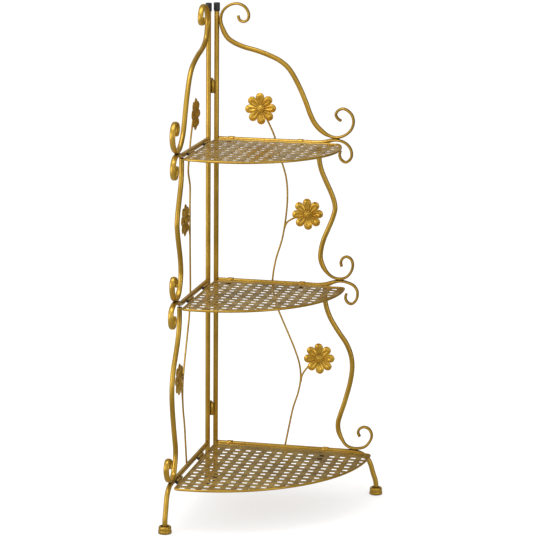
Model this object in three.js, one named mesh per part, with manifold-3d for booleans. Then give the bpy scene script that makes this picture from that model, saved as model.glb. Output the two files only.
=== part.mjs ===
// Folding corner plant stand: two scrolled side frames hinged at their rear posts and three
// quarter-round woven shelves, each hinged on the left frame and resting on the right one.
// Millimetres, +Z up. The frames stand at 90 degrees, and the shelves lie level.
import * as THREE from 'three';
import { mergeGeometries, mergeVertices } from 'three/addons/utils/BufferGeometryUtils.js';
import Module from 'manifold-3d';

const wasm = await Module();
wasm.setup();

// ---------------------------------------------------------------- driving dimensions

const SEAT_GAP = 0.3; // between pieces that touch or are welded
const TUBE_RADIUS = 5.3;
const FLAT_TUBE_THICKNESS = 6; // across a scroll end, in the plane of its curl
const FLAT_TUBE_WIDTH = 12.2;
const FLATTENING_LENGTH = 34; // from round tube to flattened end

const STAND_HEIGHT = 1050;
const TOP_RAIL_HEIGHT = 761;
const MIDDLE_RAIL_HEIGHT = 454;
const BOTTOM_RAIL_HEIGHT = 91;

const CAP_LENGTH = 17.5;
const CAP_WALL = 1.1;
const CAP_END_THICKNESS = 3;

const FOOT_RADIUS = 14;
const FOOT_HEIGHT = 16;
const FOOT_RIM_HEIGHT = 5.5;
const FOOT_CUP_RADIUS = 12.8;
const FOOT_SOCKET_FLOOR = 5;
const FOOT_RING_HEIGHT = 2.4;
const FOOT_RING_WALL = 1.6;
const FOOT_REACH = 357; // from the post's axis to the front foot's axis

const HINGE_BARREL_RADIUS = 4;
const HINGE_PIN_RADIUS = 2.3;
const HINGE_BORE_RADIUS = 2.75;
const POST_BARREL_LENGTH = 27;
const UPPER_BARREL_DROP = 164; // from the stand's top to the upper barrel's
const LOWER_BARREL_RISE = 90; // from the bottom rail to the lower barrel's top
const LEFT_POST_GAP = 1.1; // between the left post and the barrels

const SHELF_BARREL_LENGTH = 28;
const SHELF_BARREL_GAP = 0.5; // between a shelf's barrels and the left rail
const SHELF_PIN_RECESS = 3; // how far a pin stops short of its barrel's front end
const SHELF_PIN_TAIL = 15; // how far it runs on behind the barrel
const RIM_RADIUS = 2.5;
const RIGHT_EDGE_SETBACK = 7.5; // the rim's straight right side, in front of the post hinge's axis
const RIM_CORNER_RADIUS = 9;
const SHEET_THICKNESS = 1.5;
const SHEET_RISE = 0.2; // underside of the sheet above the middle of the rim
const WEAVE_PITCH = 23;
const WEAVE_HOLE = 11.5;
const WEAVE_BORDER = 2;

const REST_WIDTH = 12;
const REST_THICKNESS = 1.6;
const REAR_REST_REACH = 40; // out from the post hinge's axis
const REAR_REST_LENGTH = 24; // from the rail's axis

const VINE_RADIUS = 2;
const FLOWER_RADIUS = 32;
const FLOWER_DEPTH = 6;
const FLOWER_THICKNESS = 1.2;
const FLOWER_BUTTON_RADIUS = 6;
const FLOWER_BUTTON_RISE = 3.2;
const PETALS = 8;
// One petal's edge: how far round the petal, and how far out in flower radii.
const PETAL_OUTLINE = [[0, 0.62], [0.13, 0.88], [0.36, 1], [0.64, 1], [0.87, 0.88]];

// Shelves: the front edge is an arc whose centre lies on the diagonal between the frames.
// firstHole runs from the rim's left and right sides to the middle of the first hole, barrels
// lie that far in front of the post hinge, and rest gives the front rest's reach and length.
const TIERS = [
  {
    name: 'top', rail: TOP_RAIL_HEIGHT, arcInset: 84, arcRadius: 206,
    firstHole: [10.5, 22], barrels: [66, 196], rest: [190, 34],
  },
  {
    name: 'middle', rail: MIDDLE_RAIL_HEIGHT, arcInset: 42, arcRadius: 251,
    firstHole: [10.5, 19], barrels: [71, 200], rest: [197, 34],
  },
  {
    name: 'bottom', rail: BOTTOM_RAIL_HEIGHT, arcInset: 26, arcRadius: 327,
    firstHole: [13.8, 36.5], barrels: [111, 290], rest: [252, 70],
  },
];

const TUBE_SIDES = 8;
const WIRE_SIDES = 6;
const ROUND_SIDES = 12;

// ---------------------------------------------------------------- materials

const goldPaint = () => new THREE.MeshStandardMaterial({ color: 0xb08726, roughness: 0.38, metalness: 0.75 });
const blackPlastic = () => new THREE.MeshStandardMaterial({ color: 0x1c1c1c, roughness: 0.6, metalness: 0 });

// ---------------------------------------------------------------- geometry helpers

function solidOf(geometry) {
  const bare = geometry.clone();
  bare.deleteAttribute('normal');
  bare.deleteAttribute('uv');
  const merged = mergeVertices(bare, 1e-4);
  const mesh = new wasm.Mesh({
    numProp: 3,
    vertProperties: new Float32Array(merged.attributes.position.array),
    triVerts: new Uint32Array(merged.index.array),
  });
  return new wasm.Manifold(mesh);
}

function geometryOf(solid) {
  const mesh = solid.getMesh();
  const geometry = new THREE.BufferGeometry();
  geometry.setAttribute('position', new THREE.BufferAttribute(new Float32Array(mesh.vertProperties), 3));
  geometry.setIndex(new THREE.BufferAttribute(new Uint32Array(mesh.triVerts), 1));
  geometry.computeVertexNormals();
  return geometry;
}

const cut = (geometry, tool) => geometryOf(solidOf(geometry).subtract(solidOf(tool)));
const join = (...pieces) => geometryOf(pieces.map(solidOf).reduce((sum, next) => sum.add(next)));

function surface(vertices, triangles) {
  const geometry = new THREE.BufferGeometry();
  geometry.setAttribute('position', new THREE.Float32BufferAttribute(vertices.flat(), 3));
  geometry.setIndex(triangles.flat());
  geometry.computeVertexNormals();
  return geometry;
}

// Sweeps an ellipse along flat points [a, b]. section(i) gives its half-thickness in the plane
// of the points and its half-width across that plane. The result lies in the XY plane.
function sweep(points, section, sides, closed = false) {
  const count = points.length;
  const vertices = [];
  const triangles = [];
  for (let i = 0; i < count; i += 1) {
    const before = points[closed ? (i + count - 1) % count : Math.max(i - 1, 0)];
    const after = points[closed ? (i + 1) % count : Math.min(i + 1, count - 1)];
    const along = new THREE.Vector2(after[0] - before[0], after[1] - before[1]).normalize();
    const [thick, wide] = section(i);
    for (let k = 0; k < sides; k += 1) {
      const turn = (2 * Math.PI * k) / sides;
      const inPlane = thick * Math.cos(turn);
      const [a, b] = points[i];
      vertices.push([a - along.y * inPlane, b + along.x * inPlane, wide * Math.sin(turn)]);
    }
  }
  const rings = closed ? count : count - 1;
  for (let i = 0; i < rings; i += 1) {
    for (let k = 0; k < sides; k += 1) {
      const a = i * sides + k;
      const b = i * sides + ((k + 1) % sides);
      const c = ((i + 1) % count) * sides + k;
      const d = ((i + 1) % count) * sides + ((k + 1) % sides);
      triangles.push([a, b, d], [a, d, c]);
    }
  }
  if (!closed) {
    for (let k = 1; k < sides - 1; k += 1) {
      const last = (count - 1) * sides;
      triangles.push([0, k + 1, k], [last, last + k, last + k + 1]);
    }
  }
  return surface(vertices, triangles);
}

// Points along a smooth curve through the given ones, closer together where it bends.
const FINE_STEPS = 480;
const BEND_PER_STEP = THREE.MathUtils.degToRad(21);
const LONGEST_STEP = 28;

function bend(controls) {
  const through = controls.map(([a, b]) => new THREE.Vector3(a, b, 0));
  const curve = new THREE.CatmullRomCurve3(through, false, 'centripetal');
  const fine = curve.getSpacedPoints(FINE_STEPS);
  const points = [[fine[0].x, fine[0].y]];
  let turned = 0;
  let travelled = 0;
  for (let i = 1; i < FINE_STEPS; i += 1) {
    const into = fine[i].clone().sub(fine[i - 1]);
    turned += into.angleTo(fine[i + 1].clone().sub(fine[i]));
    travelled += into.length();
    if (turned >= BEND_PER_STEP || travelled >= LONGEST_STEP) {
      points.push([fine[i].x, fine[i].y]);
      turned = 0;
      travelled = 0;
    }
  }
  points.push([fine[FINE_STEPS].x, fine[FINE_STEPS].y]);
  return points;
}

const round = (radius) => () => [radius, radius];

// Stands what was drawn in the XY plane up in the XZ plane.
const upright = (geometry) => geometry.rotateX(Math.PI / 2);

// A tube in the plane of its frame, flattened towards the ends whose curl length is given.
function scrolledTube(controls, startCurl, endCurl) {
  const points = bend(controls);
  const runs = [0];
  for (let i = 1; i < points.length; i += 1) {
    const [[a, b], [c, d]] = [points[i - 1], points[i]];
    runs.push(runs[i - 1] + Math.hypot(c - a, d - b));
  }
  const total = runs[runs.length - 1];
  const { smoothstep, lerp } = THREE.MathUtils;
  const flatness = (run, curl) => smoothstep(curl + FLATTENING_LENGTH - run, 0, FLATTENING_LENGTH);
  const section = (i) => {
    const start = startCurl > 0 ? flatness(runs[i], startCurl) : 0;
    const end = endCurl > 0 ? flatness(total - runs[i], endCurl) : 0;
    const flat = Math.max(start, end);
    return [
      lerp(TUBE_RADIUS, FLAT_TUBE_THICKNESS / 2, flat),
      lerp(TUBE_RADIUS, FLAT_TUBE_WIDTH / 2, flat),
    ];
  };
  return upright(sweep(points, section, TUBE_SIDES));
}

function rod(radius, bottom, top, sides = ROUND_SIDES) {
  const geometry = new THREE.CylinderGeometry(radius, radius, top - bottom, sides);
  return geometry.rotateX(Math.PI / 2).translate(0, 0, (top + bottom) / 2);
}

// A turned piece about +Z from [radius, height] pairs that start and end on the axis.
function turned(profile, sides = ROUND_SIDES) {
  const points = profile.map(([radius, height]) => new THREE.Vector2(radius, height));
  return new THREE.LatheGeometry(points, sides).rotateX(Math.PI / 2);
}

// A bored barrel about +Z, standing on z = 0.
function barrelGeometry(length) {
  return turned([
    [HINGE_BORE_RADIUS, 0],
    [HINGE_BARREL_RADIUS, 0],
    [HINGE_BARREL_RADIUS, length],
    [HINGE_BORE_RADIUS, length],
    [HINGE_BORE_RADIUS, 0],
  ], 10);
}

function part(name, geometry, material) {
  const mesh = new THREE.Mesh(geometry, material);
  mesh.name = name;
  return mesh;
}

// ---------------------------------------------------------------- post hinge and its posts

const HINGE_PIN_RISE = HINGE_PIN_RADIUS + 1.2; // middle of the pin's arm above its barrel
const PIN_END_GAP = 3;
const POST_BARREL_TOPS = {
  upper: STAND_HEIGHT - UPPER_BARREL_DROP,
  lower: BOTTOM_RAIL_HEIGHT + LOWER_BARREL_RISE,
};

const rightPostDistance = HINGE_BARREL_RADIUS + SEAT_GAP + TUBE_RADIUS;
const leftPostDistance = HINGE_BARREL_RADIUS + LEFT_POST_GAP + TUBE_RADIUS;
const rightPlane = rightPostDistance * Math.SQRT1_2; // y of the right frame's plane
const leftPlane = -leftPostDistance * Math.SQRT1_2; // x of the left frame's plane

// ---------------------------------------------------------------- side frame pieces
// Each is drawn with X out from the post, Z up and Y across the frame.

const capRadius = TUBE_RADIUS + SEAT_GAP + CAP_WALL;
const postBottom = CAP_END_THICKNESS + SEAT_GAP;
const postTop = STAND_HEIGHT - CAP_END_THICKNESS - SEAT_GAP;

const postGeometry = () => rod(TUBE_RADIUS, postBottom, postTop);

function endCapGeometry() {
  const inner = TUBE_RADIUS + SEAT_GAP;
  const chamfer = CAP_WALL;
  return turned([
    [0, 0],
    [capRadius - chamfer, 0],
    [capRadius, chamfer],
    [capRadius, CAP_LENGTH],
    [inner, CAP_LENGTH],
    [inner, CAP_END_THICKNESS],
    [0, CAP_END_THICKNESS],
  ]);
}

// Room for the post, so that a tube's end is coped to it.
const postRoom = () => rod(TUBE_RADIUS + SEAT_GAP, 0, STAND_HEIGHT, 24);

// Room for a level rail at the given height, so that the end of an upright is coped to it.
function railRoom(height) {
  const reach = FOOT_REACH;
  const geometry = new THREE.CylinderGeometry(TUBE_RADIUS + SEAT_GAP, TUBE_RADIUS + SEAT_GAP, reach, 24);
  return geometry.rotateZ(Math.PI / 2).translate(reach / 2, 0, height);
}

const flatHalf = FLAT_TUBE_THICKNESS / 2;

// Heights above the rail at which a flattened scroll seats on a flattened or a round rail.
const seatOnCurl = FLAT_TUBE_THICKNESS + SEAT_GAP;
const seatOnRound = TUBE_RADIUS + SEAT_GAP + flatHalf;
const TOP_RAIL_CREST = 7; // how far a rail rises before it curls over
const MIDDLE_RAIL_CREST = 11;

function topRail() {
  const h = TOP_RAIL_HEIGHT;
  const crest = h + TOP_RAIL_CREST;
  return scrolledTube([
    [2, h], [120, h], [195, h], [217, h], [236, h + 2], [248, crest - 1], [261, crest],
    [275, crest - 3], [287, h - 5], [293, h - 19], [291, h - 31], [281, h - 39], [271, h - 34],
    [267, h - 24], [269, h - 15],
  ], 0, 98);
}

function middleRail() {
  const h = MIDDLE_RAIL_HEIGHT;
  const crest = h + MIDDLE_RAIL_CREST;
  return scrolledTube([
    [2, h], [120, h], [204, h], [224, h], [243, h + 3], [256, crest - 3], [268, crest],
    [280, crest], [292, crest - 3], [302, h + 3], [309, h - 7], [310, h - 18], [306, h - 30],
    [297, h - 37], [288, h - 33], [284, h - 24], [286, h - 15],
  ], 0, 106);
}

// The bottom rail turns down into the front leg, whose end stands in the foot's socket.
function legRail() {
  const h = BOTTOM_RAIL_HEIGHT;
  const aboveFoot = FOOT_HEIGHT + SEAT_GAP + FOOT_RING_HEIGHT + 2;
  const points = bend([
    [2, h], [150, h], [290, h], [306, h], [320, h - 2], [332, h - 8], [341, h - 18], [346, h - 30],
    [350, h - 44], [FOOT_REACH - 1.5, aboveFoot + 10], [FOOT_REACH, aboveFoot],
  ]);
  points.push([FOOT_REACH, FOOT_SOCKET_FLOOR + SEAT_GAP]);
  return upright(sweep(points, round(TUBE_RADIUS), TUBE_SIDES));
}

// A height as a share of the way from one level up to another.
const between = (low, high) => (share) => THREE.MathUtils.lerp(low, high, share);

// The top scroll curls beside the post, sweeps down and out, and curls on the top rail.
const TOP_SWEEP_DROP = 99; // from the stand's top to where the sweep leaves the upper curl

function topScroll() {
  const tip = STAND_HEIGHT;
  const seat = TOP_RAIL_HEIGHT + TOP_RAIL_CREST + seatOnCurl;
  const up = between(seat, STAND_HEIGHT - TOP_SWEEP_DROP);
  const besidePost = TUBE_RADIUS + SEAT_GAP + flatHalf;
  return scrolledTube([
    [46, tip - 26], [49, tip - 35], [58, tip - 39], [67, tip - 34], [69, tip - 22], [60, tip - 7],
    [43, tip - 1], [24, tip - 7], [12, tip - 20], [besidePost, tip - 38], [14, tip - 58],
    [24, tip - 74], [39, tip - 84], [60, tip - 92], [88, up(1)], [117, up(0.943)], [138, up(0.887)],
    [156, up(0.802)], [176, up(0.621)], [193, up(0.411)], [203, up(0.264)], [213, up(0.157)],
    [226, up(0.078)], [242, seat + 3.4], [261, seat - 0.3],
    [278, seat + 5], [291, seat + 17], [296, seat + 33], [293, seat + 47], [284, seat + 57], [273, seat + 61],
    [262, seat + 56], [258, seat + 48], [262, seat + 40], [270, seat + 35],
  ], 128, 140);
}

function middleScroll() {
  const seat = MIDDLE_RAIL_HEIGHT + MIDDLE_RAIL_CREST + seatOnCurl;
  const up = between(seat, TOP_RAIL_HEIGHT);
  return scrolledTube([
    [223, TOP_RAIL_HEIGHT - 2], [223, up(0.934)], [224, up(0.865)], [229, up(0.796)],
    [238, up(0.724)], [248, up(0.651)], [256, up(0.582)], [259, up(0.52)], [254, up(0.448)],
    [245, up(0.368)], [236, up(0.292)], [230, up(0.213)], [229, up(0.144)], [234, up(0.089)],
    [243, seat + 12], [256, seat + 2], [272, seat - 0.7], [286, seat + 4], [296, seat + 17],
    [299, seat + 31], [295, seat + 43], [286, seat + 48], [277, seat + 44], [273, seat + 35],
    [275, seat + 26],
  ], 0, 118);
}

function bottomScroll() {
  const seat = BOTTOM_RAIL_HEIGHT + seatOnRound;
  const up = between(seat, MIDDLE_RAIL_HEIGHT);
  return scrolledTube([
    [240, MIDDLE_RAIL_HEIGHT - 2], [240, up(0.915)], [244, up(0.859)], [253, up(0.797)],
    [270, up(0.721)], [288, up(0.647)], [298, up(0.577)], [301, up(0.509)], [298, up(0.424)],
    [291, up(0.34)], [284, up(0.269)], [277, up(0.207)], [272, up(0.154)], [273, up(0.103)],
    [280, up(0.055)], [290, seat + 5], [302, seat], [314, seat - 0.7], [331, seat + 4],
    [342, seat + 17], [346, seat + 31], [340, seat + 44], [329, seat + 48], [319, seat + 43],
    [316, seat + 35], [320, seat + 26],
  ], 0, 132);
}

// Vines: one long wire with two branches, hand-bent, so the two frames' middle bays differ.
const lowBay = between(BOTTOM_RAIL_HEIGHT, MIDDLE_RAIL_HEIGHT);
const midBay = between(MIDDLE_RAIL_HEIGHT, TOP_RAIL_HEIGHT);
const topBay = between(TOP_RAIL_HEIGHT, STAND_HEIGHT - TOP_SWEEP_DROP);
const VINES = {
  right: {
    bow: 31, bowHeight: midBay(0.593), joint: midBay(0.378), middleFlower: [199, midBay(0.495)],
  },
  left: {
    bow: 4, bowHeight: midBay(0.606), joint: midBay(0.397), middleFlower: [180, midBay(0.537)],
  },
};
const flowerRoom = FLOWER_RADIUS + TUBE_RADIUS;
const besideFlower = between(TOP_RAIL_HEIGHT + flowerRoom, STAND_HEIGHT - TOP_SWEEP_DROP - flowerRoom);
const TOP_FLOWER = [95, besideFlower(0.257)];
const BOTTOM_FLOWER = [228, lowBay(0.554)];
const VINE_AT_MIDDLE_RAIL = 123;

function vineWires({ bow, bowHeight, joint, middleFlower }) {
  const u = VINE_AT_MIDDLE_RAIL;
  const stem = [
    [153, BOTTOM_RAIL_HEIGHT - 4], [162, lowBay(0.118)], [171, lowBay(0.24)], [182, lowBay(0.339)],
    [187, lowBay(0.424)], [184, lowBay(0.51)], [174, lowBay(0.595)], [160, lowBay(0.686)],
    [147, lowBay(0.766)], [134, lowBay(0.851)], [126, lowBay(0.934)], [u, MIDDLE_RAIL_HEIGHT],
    [u + bow * 0.2, midBay(0.15)], [u + bow * 0.7, midBay(0.329)], [u + bow, bowHeight],
    [u + bow * 0.9, midBay(0.743)], [u + 18, midBay(0.853)], [u + 8, midBay(0.958)],
    [u + 1, topBay(0.058)], [112, topBay(0.195)], [101, topBay(0.3)], TOP_FLOWER,
  ];
  const [fu, fz] = middleFlower;
  const jointU = u + bow * 0.78;
  const middle = [[jointU, joint], [jointU + 7, joint + 16], [fu - 20, fz - 6], [fu, fz]];
  const [bu, bz] = BOTTOM_FLOWER;
  const bottom = [[187, lowBay(0.399)], [191, lowBay(0.449)], [bu - 20, bz - 15], [bu, bz]];
  const wire = (controls) => upright(sweep(bend(controls), round(VINE_RADIUS), WIRE_SIDES));
  return join(wire(stem), wire(middle), wire(bottom));
}

// A pressed flower: rings of points from the button out to the petals' edge, front and back.
function flowerGeometry() {
  const steps = PETALS * PETAL_OUTLINE.length;
  const button = FLOWER_BUTTON_RADIUS;
  const rings = [
    { scale: button * 0.6, lobed: 0, height: FLOWER_BUTTON_RISE },
    { scale: button * 1.3, lobed: 0, height: 0 },
    { scale: FLOWER_RADIUS, lobed: 1, height: FLOWER_DEPTH - FLOWER_THICKNESS },
  ];
  const vertices = [[0, 0, FLOWER_BUTTON_RISE + FLOWER_THICKNESS], [0, 0, FLOWER_BUTTON_RISE]];
  const triangles = [];
  for (const side of [1, 0]) {
    for (const { scale, lobed, height } of rings) {
      for (let i = 0; i < steps; i += 1) {
        const [turn, reach] = PETAL_OUTLINE[i % PETAL_OUTLINE.length];
        const radius = scale * THREE.MathUtils.lerp(1, reach, lobed);
        const angle = (2 * Math.PI * (Math.floor(i / PETAL_OUTLINE.length) + turn)) / PETALS;
        vertices.push([radius * Math.cos(angle), radius * Math.sin(angle), height + side * FLOWER_THICKNESS]);
      }
    }
  }
  const at = (side, ring, i) => 2 + ((1 - side) * rings.length + ring) * steps + (i % steps);
  const edge = rings.length - 1;
  for (let i = 0; i < steps; i += 1) {
    triangles.push([0, at(1, 0, i), at(1, 0, i + 1)], [1, at(0, 0, i + 1), at(0, 0, i)]);
    for (let r = 0; r < edge; r += 1) {
      triangles.push([at(1, r, i), at(1, r + 1, i), at(1, r + 1, i + 1)]);
      triangles.push([at(1, r, i), at(1, r + 1, i + 1), at(1, r, i + 1)]);
      triangles.push([at(0, r, i), at(0, r + 1, i + 1), at(0, r + 1, i)]);
      triangles.push([at(0, r, i), at(0, r, i + 1), at(0, r + 1, i + 1)]);
    }
    triangles.push([at(1, edge, i), at(0, edge, i), at(0, edge, i + 1)]);
    triangles.push([at(1, edge, i), at(0, edge, i + 1), at(1, edge, i + 1)]);
  }
  return surface(vertices, triangles);
}

function footGeometry() {
  const socket = TUBE_RADIUS + SEAT_GAP;
  const groove = FOOT_RIM_HEIGHT + 1.2;
  return turned([
    [0, 0],
    [FOOT_RADIUS - 1, 0],
    [FOOT_RADIUS, 1.2],
    [FOOT_RADIUS, FOOT_RIM_HEIGHT - 1],
    [FOOT_RADIUS - 2.2, FOOT_RIM_HEIGHT],
    [FOOT_CUP_RADIUS - 0.4, groove],
    [FOOT_CUP_RADIUS, groove + 2.6],
    [FOOT_CUP_RADIUS - 1.6, FOOT_HEIGHT - 2.4],
    [FOOT_CUP_RADIUS - 4.6, FOOT_HEIGHT],
    [socket, FOOT_HEIGHT],
    [socket, FOOT_SOCKET_FLOOR],
    [0, FOOT_SOCKET_FLOOR],
  ], 16);
}

function footRingGeometry() {
  const inner = TUBE_RADIUS + 2 * SEAT_GAP;
  const outer = inner + FOOT_RING_WALL;
  return turned([[inner, 0], [outer, 0], [outer, FOOT_RING_HEIGHT], [inner, FOOT_RING_HEIGHT], [inner, 0]]);
}

// outward is +1 or -1: the side of the frame's plane, along Y, that faces away from the shelves.
function sideFrame(side, outward) {
  const frame = new THREE.Group();
  const add = (name, geometry, material = goldPaint()) => {
    const mesh = part(`${side}_${name}`, geometry, material);
    frame.add(mesh);
    return mesh;
  };
  add('post', postGeometry());
  const cap = add('post_cap', endCapGeometry(), blackPlastic());
  cap.rotation.x = Math.PI;
  cap.position.z = STAND_HEIGHT;
  add('post_foot_cap', endCapGeometry(), blackPlastic());
  add('top_rail', cut(topRail(), postRoom()));
  add('middle_rail', cut(middleRail(), postRoom()));
  add('leg_rail', cut(legRail(), postRoom()));
  add('top_scroll', topScroll());
  add('middle_scroll', cut(middleScroll(), railRoom(TOP_RAIL_HEIGHT)));
  add('bottom_scroll', cut(bottomScroll(), railRoom(MIDDLE_RAIL_HEIGHT)));
  add('foot', footGeometry()).position.x = FOOT_REACH;
  add('foot_ring', footRingGeometry(), blackPlastic()).position.set(FOOT_REACH, 0, FOOT_HEIGHT + SEAT_GAP);

  const vineFlat = VINE_RADIUS * Math.cos(Math.PI / WIRE_SIDES);
  const vineOffset = TUBE_RADIUS + SEAT_GAP + vineFlat;
  add('vine', vineWires(VINES[side])).position.y = outward * vineOffset;
  const flowerBack = outward * (vineOffset - vineFlat - SEAT_GAP);
  const flowers = {
    top_flower: TOP_FLOWER,
    middle_flower: VINES[side].middleFlower,
    bottom_flower: BOTTOM_FLOWER,
  };
  for (const [name, [u, z]] of Object.entries(flowers)) {
    const flower = add(name, flowerGeometry());
    flower.rotation.x = (outward * Math.PI) / 2;
    flower.position.set(u, flowerBack, z);
  }
  return frame;
}

// ---------------------------------------------------------------- post hinges

// The pin's arm leaves the left post, bends over the axis and drops into the right post's barrel.
function postPinGeometry(barrelTop) {
  const reach = leftPostDistance - TUBE_RADIUS - SEAT_GAP;
  const arm = barrelTop + HINGE_PIN_RISE;
  const bendRadius = HINGE_PIN_RADIUS;
  return upright(sweep([
    [reach, arm],
    [bendRadius + 0.6, arm],
    [bendRadius * 0.4, arm - bendRadius * 0.25],
    [0, arm - bendRadius],
    [0, barrelTop - POST_BARREL_LENGTH + PIN_END_GAP],
  ], round(HINGE_PIN_RADIUS), TUBE_SIDES));
}

// ---------------------------------------------------------------- shelves

const barrelAxisX = leftPlane + TUBE_RADIUS + SHELF_BARREL_GAP + HINGE_BARREL_RADIUS;
const rimLeftX = barrelAxisX + HINGE_BARREL_RADIUS + SEAT_GAP + RIM_RADIUS;
const rimRightY = -RIGHT_EDGE_SETBACK;
const ARC_STEP = THREE.MathUtils.degToRad(5);
const CORNER_STEPS = 3;

// The shelf's outline, moved in by inset, as points from the rear corner along the right edge.
function shelfOutline({ arcInset, arcRadius }, inset) {
  const left = rimLeftX + inset;
  const right = rimRightY - inset;
  const radius = arcRadius - inset;
  const rightTip = arcInset + Math.sqrt(radius ** 2 - (right + arcInset) ** 2);
  const leftTip = -arcInset - Math.sqrt(radius ** 2 - (left - arcInset) ** 2);
  const tipRound = RIM_CORNER_RADIUS - inset * 0.5;
  const rear = RIM_CORNER_RADIUS - inset * 0.5;
  const start = Math.atan2(right + arcInset, rightTip - arcInset);
  const end = Math.atan2(leftTip + arcInset, left - arcInset);
  const onArc = (angle) => [arcInset + radius * Math.cos(angle), -arcInset + radius * Math.sin(angle)];
  const trim = tipRound / radius;
  const first = onArc(start - trim);
  const last = onArc(end + trim);
  const corner = (from, through, to) => {
    const curve = new THREE.QuadraticBezierCurve(
      new THREE.Vector2(...from), new THREE.Vector2(...through), new THREE.Vector2(...to));
    return curve.getPoints(CORNER_STEPS).map((p) => [p.x, p.y]);
  };
  const arc = [];
  const steps = Math.round((start - end) / ARC_STEP);
  for (let i = 1; i < steps; i += 1) {
    const angle = THREE.MathUtils.lerp(start - trim, end + trim, i / steps);
    arc.push(onArc(angle));
  }
  return [
    ...corner([left, right - rear], [left, right], [left + rear, right]),
    ...corner([rightTip - tipRound, right], [rightTip, right], first),
    ...arc,
    ...corner(last, [left, leftTip], [left, leftTip + tipRound]),
  ];
}

function insideOutline([x, y], { arcInset, arcRadius }, inset) {
  return x > rimLeftX + inset && y < rimRightY - inset
    && Math.hypot(x - arcInset, y + arcInset) < arcRadius - inset;
}

// The pressed basket-weave sheet: square openings on a square pitch, parallel to the two rails.
function wovenSheet(tier) {
  const inset = RIM_RADIUS + SEAT_GAP;
  const shape = new THREE.Shape(shelfOutline(tier, inset).map(([x, y]) => new THREE.Vector2(x, y)));
  const sheet = new THREE.ExtrudeGeometry(shape, { depth: SHEET_THICKNESS, bevelEnabled: false });
  const half = WEAVE_HOLE / 2;
  const count = Math.ceil((tier.arcInset + tier.arcRadius) / WEAVE_PITCH);
  const openings = [];
  for (let i = 0; i < count; i += 1) {
    for (let j = 0; j < count; j += 1) {
      const x = rimLeftX + tier.firstHole[0] + i * WEAVE_PITCH;
      const y = rimRightY - tier.firstHole[1] - j * WEAVE_PITCH;
      const [west, east, south, north] = [x - half, x + half, y - half, y + half];
      const corners = [[west, south], [west, north], [east, north], [east, south]];
      if (corners.every((corner) => insideOutline(corner, tier, inset + WEAVE_BORDER))) {
        openings.push(new THREE.BoxGeometry(WEAVE_HOLE, WEAVE_HOLE, 4 * SHEET_THICKNESS).translate(x, y, 0));
      }
    }
  }
  return cut(sheet, mergeGeometries(openings)).translate(0, 0, SHEET_RISE);
}

const rimGeometry = (tier) => sweep(shelfOutline(tier, 0), round(RIM_RADIUS), TUBE_SIDES, true);

// A strap on the right rail that reaches in under the rim, which rests on it. It lies along Y.
function restGeometry(length) {
  const top = -RIM_RADIUS - SEAT_GAP;
  const atRail = rightPlane - Math.sqrt((TUBE_RADIUS + SEAT_GAP) ** 2 - top ** 2);
  const geometry = new THREE.BoxGeometry(REST_WIDTH, atRail - rightPlane + length, REST_THICKNESS);
  return geometry.translate(0, (atRail + rightPlane - length) / 2, top - REST_THICKNESS / 2);
}

function shelf(tier) {
  const group = new THREE.Group();
  group.position.z = tier.rail;
  group.add(part(`${tier.name}_shelf_sheet`, wovenSheet(tier), goldPaint()));
  group.add(part(`${tier.name}_shelf_rim`, rimGeometry(tier), goldPaint()));
  ['rear', 'front'].forEach((place, i) => {
    const geometry = barrelGeometry(SHELF_BARREL_LENGTH);
    const barrel = part(`${tier.name}_shelf_barrel_${place}`, geometry, goldPaint());
    barrel.rotation.x = Math.PI / 2;
    barrel.position.set(barrelAxisX, SHELF_BARREL_LENGTH / 2 - tier.barrels[i], 0);
    group.add(barrel);
  });
  return group;
}

// Lies in the barrel along the rail, then turns to the rail behind it. Drawn with X to the front.
function shelfPinGeometry() {
  const reach = SHELF_BARREL_GAP + HINGE_BARREL_RADIUS - SEAT_GAP;
  const front = SHELF_BARREL_LENGTH / 2 - SHELF_PIN_RECESS;
  const rear = -SHELF_BARREL_LENGTH / 2 - SHELF_PIN_TAIL;
  const r = HINGE_PIN_RADIUS;
  return sweep([
    [front, 0], [rear + 1.8 * r, 0], [rear + 0.5 * r, -0.4 * r], [rear, -1.3 * r], [rear, -reach],
  ], round(r), TUBE_SIDES);
}

// ---------------------------------------------------------------- assembly

const stand = new THREE.Group();

const rightFrame = sideFrame('right', 1);
rightFrame.position.set(rightPlane, rightPlane, 0);
stand.add(rightFrame);

const leftFrame = sideFrame('left', -1);
leftFrame.position.set(leftPlane, leftPlane, 0);
leftFrame.rotation.z = -Math.PI / 2;
stand.add(leftFrame);

for (const [place, top] of Object.entries(POST_BARREL_TOPS)) {
  const barrel = part(`right_hinge_barrel_${place}`, barrelGeometry(POST_BARREL_LENGTH), goldPaint());
  barrel.position.z = top - POST_BARREL_LENGTH;
  stand.add(barrel);
  const pin = part(`left_hinge_pin_${place}`, postPinGeometry(top), goldPaint());
  pin.rotation.z = (-3 * Math.PI) / 4;
  stand.add(pin);
}

for (const tier of TIERS) {
  stand.add(shelf(tier));
  const rests = { rear: [REAR_REST_REACH, REAR_REST_LENGTH], front: tier.rest };
  for (const [place, [reach, length]] of Object.entries(rests)) {
    const rest = part(`right_${tier.name}_rest_${place}`, restGeometry(length), goldPaint());
    rest.position.set(reach, 0, tier.rail);
    stand.add(rest);
  }
  ['rear', 'front'].forEach((place, i) => {
    const pin = part(`${tier.name}_shelf_pin_${place}`, shelfPinGeometry(), goldPaint());
    pin.rotation.z = -Math.PI / 2;
    pin.position.set(barrelAxisX, -tier.barrels[i], tier.rail);
    stand.add(pin);
  });
}

// The origin is under the middle of the stand, on the floor.
stand.updateMatrixWorld(true);
const middle = new THREE.Box3().setFromObject(stand, true).getCenter(new THREE.Vector3());
stand.position.set(-middle.x, -middle.y, 0);

export default stand;
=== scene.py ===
"""Looks for the folding corner plant stand, in metres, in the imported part's frame."""
import math
import random

import bpy
from mathutils import Matrix, Vector


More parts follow.
